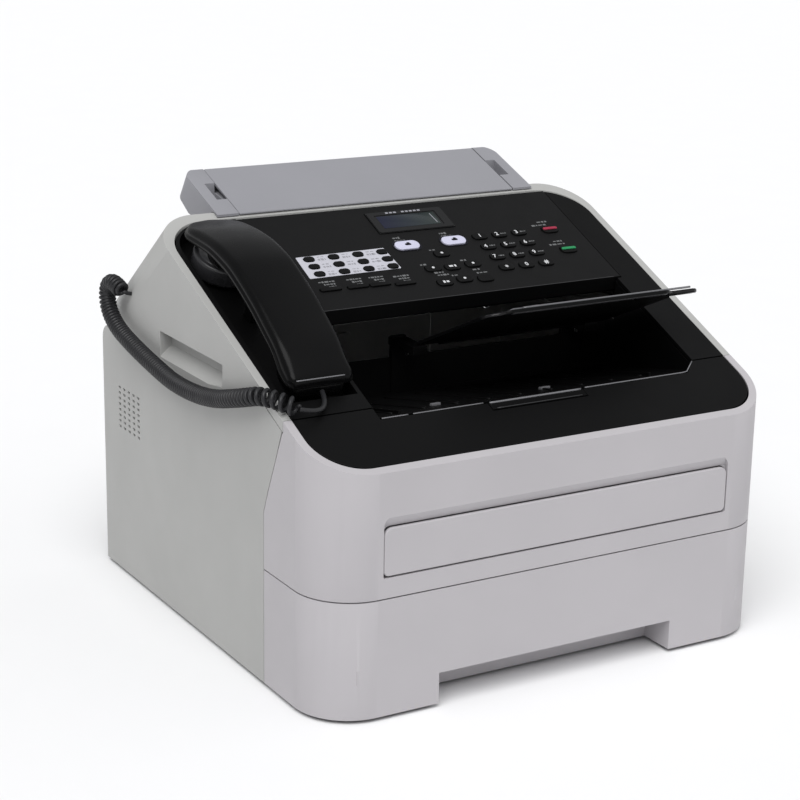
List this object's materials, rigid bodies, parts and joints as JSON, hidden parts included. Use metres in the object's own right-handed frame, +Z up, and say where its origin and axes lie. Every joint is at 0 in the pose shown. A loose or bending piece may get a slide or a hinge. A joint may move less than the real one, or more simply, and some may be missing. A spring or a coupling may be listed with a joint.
{
  "type": "fax machine",
  "caption": "Desktop laser fax machine with corded handset, sloping control panel, paper cassette, front cover and sheet feeder.",
  "frame": {"origin": "centre of the footprint, on the surface the feet stand on", "axes": "+X to the right of the user, +Y away from the user (front at -Y), +Z up"},
  "size_m": [0.3835, 0.36, 0.3134],
  "materials": {
    "white_plastic": "fine texture",
    "front_plastic": "fine texture",
    "black_plastic": "fine texture",
    "tray_black": "moulded",
    "grey_plastic": "fine texture",
    "handset_black": "semi gloss",
    "cord_plastic": "smooth",
    "key_black": "smooth",
    "key_white": "smooth",
    "key_red": "smooth",
    "key_green": "smooth",
    "lcd_glass": "smooth",
    "rubber": "matte",
    "roller_rubber": "matte",
    "steel": "brushed",
    "chassis_plastic": "moulded",
    "board_green": "solder mask",
    "gear_plastic": "moulded",
    "toner_plastic": "moulded",
    "drum_plastic": "moulded"
  },
  "bodies": {
    "chassis": {"base_frame": "chassis_plastic", "rubber_feet": "rubber", "left_side_cover": "white_plastic", "right_side_cover": "white_plastic", "rear_cover": "white_plastic", "cover_screws": "steel", "power_inlet": "tray_black", "line_jacks": "tray_black", "upper_cover": "white_plastic", "deck_panel": "black_plastic", "output_tray": "tray_black", "document_frame": "grey_plastic", "drum_unit": "drum_plastic", "toner_cartridge": "toner_plastic", "laser_scanner_unit": "chassis_plastic", "fuser_frame": "steel", "main_motor": "steel", "main_board": "board_green", "speaker": "steel", "cord_curl": "cord_plastic", "cord_lead_front": "cord_plastic"},
    "rear_door": {"fuser_cover": "white_plastic"},
    "document_lid": {"document_cover": "grey_plastic"},
    "hook_button": {"hook_switch": "key_black"},
    "heat_roller_body": {"heat_roller": "steel"},
    "pressure_roller_body": {"pressure_roller": "roller_rubber"},
    "drive_gear_body": {"drive_gear": "gear_plastic"},
    "pickup_roller_body": {"pickup_roller": "roller_rubber"},
    "adf_feed_roller_body": {"adf_feed_roller": "roller_rubber"},
    "panel": {"control_panel": "black_plastic", "panel_base": "tray_black", "lcd_window": "lcd_glass"},
    "dial_key_1_body": {"dial_key_1": "key_black"},
    "dial_key_2_body": {"dial_key_2": "key_black"},
    "dial_key_3_body": {"dial_key_3": "key_black"},
    "dial_key_4_body": {"dial_key_4": "key_black"},
    "dial_key_5_body": {"dial_key_5": "key_black"},
    "dial_key_6_body": {"dial_key_6": "key_black"},
    "dial_key_7_body": {"dial_key_7": "key_black"},
    "dial_key_8_body": {"dial_key_8": "key_black"},
    "dial_key_9_body": {"dial_key_9": "key_black"},
    "dial_key_star_body": {"dial_key_star": "key_black"},
    "dial_key_0_body": {"dial_key_0": "key_black"},
    "dial_key_hash_body": {"dial_key_hash": "key_black"},
    "stop_key_body": {"stop_key": "key_red"},
    "start_key_body": {"start_key": "key_green"},
    "mode_keys_body": {"mode_keys": "key_white"},
    "navigation_keys_body": {"navigation_keys": "key_black"},
    "one_touch_keys_body": {"one_touch_keys": "key_black"},
    "document_support_body": {"document_support": "tray_black"},
    "front_door": {"front_cover": "front_plastic", "front_strip": "black_plastic"},
    "feed_flap": {"manual_feed_flap": "front_plastic"},
    "paper_stop": {"stop_flap": "black_plastic"},
    "cassette": {"cassette_tray": "front_plastic"},
    "lift_plate_body": {"lift_plate": "steel"},
    "length_guide_body": {"length_guide": "grey_plastic"},
    "handset": {"handset_back": "handset_black", "handset_face": "handset_black"}
  },
  "joints": [
    {"name": "fuser_cover_hinge", "type": "hinge", "parent": "chassis", "child": "rear_door", "pos_m": [0, 0.1785, 0.0982], "axis": [-1, 0, 0], "range_deg": [0, 80]},
    {"name": "document_cover_hinge", "type": "hinge", "parent": "chassis", "child": "document_lid", "pos_m": [0, 0.1434, 0.3107], "axis": [-1, 0, 0], "range_deg": [0, 95]},
    {"name": "hook_switch_slide", "type": "slide", "parent": "chassis", "child": "hook_button", "axis": [0, 0.4035, -0.915], "range_m": [0, 0.004], "stiffness_N_per_m": 60},
    {"name": "heat_roller_spin", "type": "hinge", "parent": "chassis", "child": "heat_roller_body", "pos_m": [0, 0.14, 0.106], "axis": [1, 0, 0], "continuous": true},
    {"name": "pressure_roller_spin", "type": "hinge", "parent": "chassis", "child": "pressure_roller_body", "pos_m": [0, 0.14, 0.0824], "axis": [1, 0, 0], "continuous": true},
    {"name": "drive_gear_spin", "type": "hinge", "parent": "chassis", "child": "drive_gear_body", "pos_m": [0.147, 0.06, 0.098], "axis": [1, 0, 0], "continuous": true},
    {"name": "pickup_roller_spin", "type": "hinge", "parent": "chassis", "child": "pickup_roller_body", "pos_m": [0, -0.1, 0.051], "axis": [1, 0, 0], "continuous": true},
    {"name": "adf_feed_roller_spin", "type": "hinge", "parent": "chassis", "child": "adf_feed_roller_body", "pos_m": [0, 0.04349, 0.24741], "axis": [1, 0, 0], "continuous": true},
    {"name": "control_panel_hinge", "type": "hinge", "parent": "chassis", "child": "panel", "pos_m": [0, 0.08021, 0.28656], "axis": [-1, 0, 0], "range_deg": [0, 45]},
    {"name": "dial_key_1_press", "type": "slide", "parent": "panel", "child": "dial_key_1_body", "axis": [0, 0.4035, -0.915], "range_m": [0, 0.001], "stiffness_N_per_m": 120},
    {"name": "dial_key_2_press", "type": "slide", "parent": "panel", "child": "dial_key_2_body", "axis": [0, 0.4035, -0.915], "range_m": [0, 0.001], "stiffness_N_per_m": 120},
    {"name": "dial_key_3_press", "type": "slide", "parent": "panel", "child": "dial_key_3_body", "axis": [0, 0.4035, -0.915], "range_m": [0, 0.001], "stiffness_N_per_m": 120},
    {"name": "dial_key_4_press", "type": "slide", "parent": "panel", "child": "dial_key_4_body", "axis": [0, 0.4035, -0.915], "range_m": [0, 0.001], "stiffness_N_per_m": 120},
    {"name": "dial_key_5_press", "type": "slide", "parent": "panel", "child": "dial_key_5_body", "axis": [0, 0.4035, -0.915], "range_m": [0, 0.001], "stiffness_N_per_m": 120},
    {"name": "dial_key_6_press", "type": "slide", "parent": "panel", "child": "dial_key_6_body", "axis": [0, 0.4035, -0.915], "range_m": [0, 0.001], "stiffness_N_per_m": 120},
    {"name": "dial_key_7_press", "type": "slide", "parent": "panel", "child": "dial_key_7_body", "axis": [0, 0.4035, -0.915], "range_m": [0, 0.001], "stiffness_N_per_m": 120},
    {"name": "dial_key_8_press", "type": "slide", "parent": "panel", "child": "dial_key_8_body", "axis": [0, 0.4035, -0.915], "range_m": [0, 0.001], "stiffness_N_per_m": 120},
    {"name": "dial_key_9_press", "type": "slide", "parent": "panel", "child": "dial_key_9_body", "axis": [0, 0.4035, -0.915], "range_m": [0, 0.001], "stiffness_N_per_m": 120},
    {"name": "dial_key_star_press", "type": "slide", "parent": "panel", "child": "dial_key_star_body", "axis": [0, 0.4035, -0.915], "range_m": [0, 0.001], "stiffness_N_per_m": 120},
    {"name": "dial_key_0_press", "type": "slide", "parent": "panel", "child": "dial_key_0_body", "axis": [0, 0.4035, -0.915], "range_m": [0, 0.001], "stiffness_N_per_m": 120},
    {"name": "dial_key_hash_press", "type": "slide", "parent": "panel", "child": "dial_key_hash_body", "axis": [0, 0.4035, -0.915], "range_m": [0, 0.001], "stiffness_N_per_m": 120},
    {"name": "stop_key_press", "type": "slide", "parent": "panel", "child": "stop_key_body", "axis": [0, 0.4035, -0.915], "range_m": [0, 0.001], "stiffness_N_per_m": 120},
    {"name": "start_key_press", "type": "slide", "parent": "panel", "child": "start_key_body", "axis": [0, 0.4035, -0.915], "range_m": [0, 0.001], "stiffness_N_per_m": 120},
    {"name": "mode_keys_press", "type": "slide", "parent": "panel", "child": "mode_keys_body", "axis": [0, 0.4035, -0.915], "range_m": [0, 0.001], "stiffness_N_per_m": 120},
    {"name": "navigation_keys_press", "type": "slide", "parent": "panel", "child": "navigation_keys_body", "axis": [0, 0.4035, -0.915], "range_m": [0, 0.001], "stiffness_N_per_m": 200},
    {"name": "one_touch_keys_press", "type": "slide", "parent": "panel", "child": "one_touch_keys_body", "axis": [0, 0.4035, -0.915], "range_m": [0, 0.001], "stiffness_N_per_m": 300},
    {"name": "document_support_hinge", "type": "hinge", "parent": "chassis", "child": "document_support_body", "pos_m": [0, -0.0204, 0.2052], "axis": [-1, 0, 0], "range_deg": [0, 40]},
    {"name": "front_cover_hinge", "type": "hinge", "parent": "chassis", "child": "front_door", "pos_m": [0, -0.1785, 0.0878], "axis": [1, 0, 0], "range_deg": [0, 90]},
    {"name": "manual_feed_flap_hinge", "type": "hinge", "parent": "front_door", "child": "feed_flap", "pos_m": [0, -0.1785, 0.1022], "axis": [1, 0, 0], "range_deg": [0, 85]},
    {"name": "stop_flap_hinge", "type": "hinge", "parent": "front_door", "child": "paper_stop", "pos_m": [0, -0.13878, 0.1886], "axis": [1, 0, 0], "range_deg": [0, 100]},
    {"name": "cassette_slide", "type": "slide", "parent": "chassis", "child": "cassette", "axis": [0, -1, 0], "range_m": [0, 0.25]},
    {"name": "lift_plate_hinge", "type": "hinge", "parent": "cassette", "child": "lift_plate_body", "pos_m": [0, 0.06, 0.01475], "axis": [-1, 0, 0], "range_deg": [0, 6]},
    {"name": "length_guide_slide", "type": "slide", "parent": "cassette", "child": "length_guide_body", "axis": [0, -1, 0], "range_m": [-0.024, 0.033]},
    {"name": "handset_lift", "type": "slide", "parent": "chassis", "child": "handset", "axis": [0, -0.4035, 0.915], "range_m": [0, 0.12]}
  ],
  "couplings": [
    {"joint": "pressure_roller_spin", "follows": "heat_roller_spin", "ratio": -0.9167},
    {"joint": "drive_gear_spin", "follows": "heat_roller_spin", "ratio": -3.2}
  ]
}
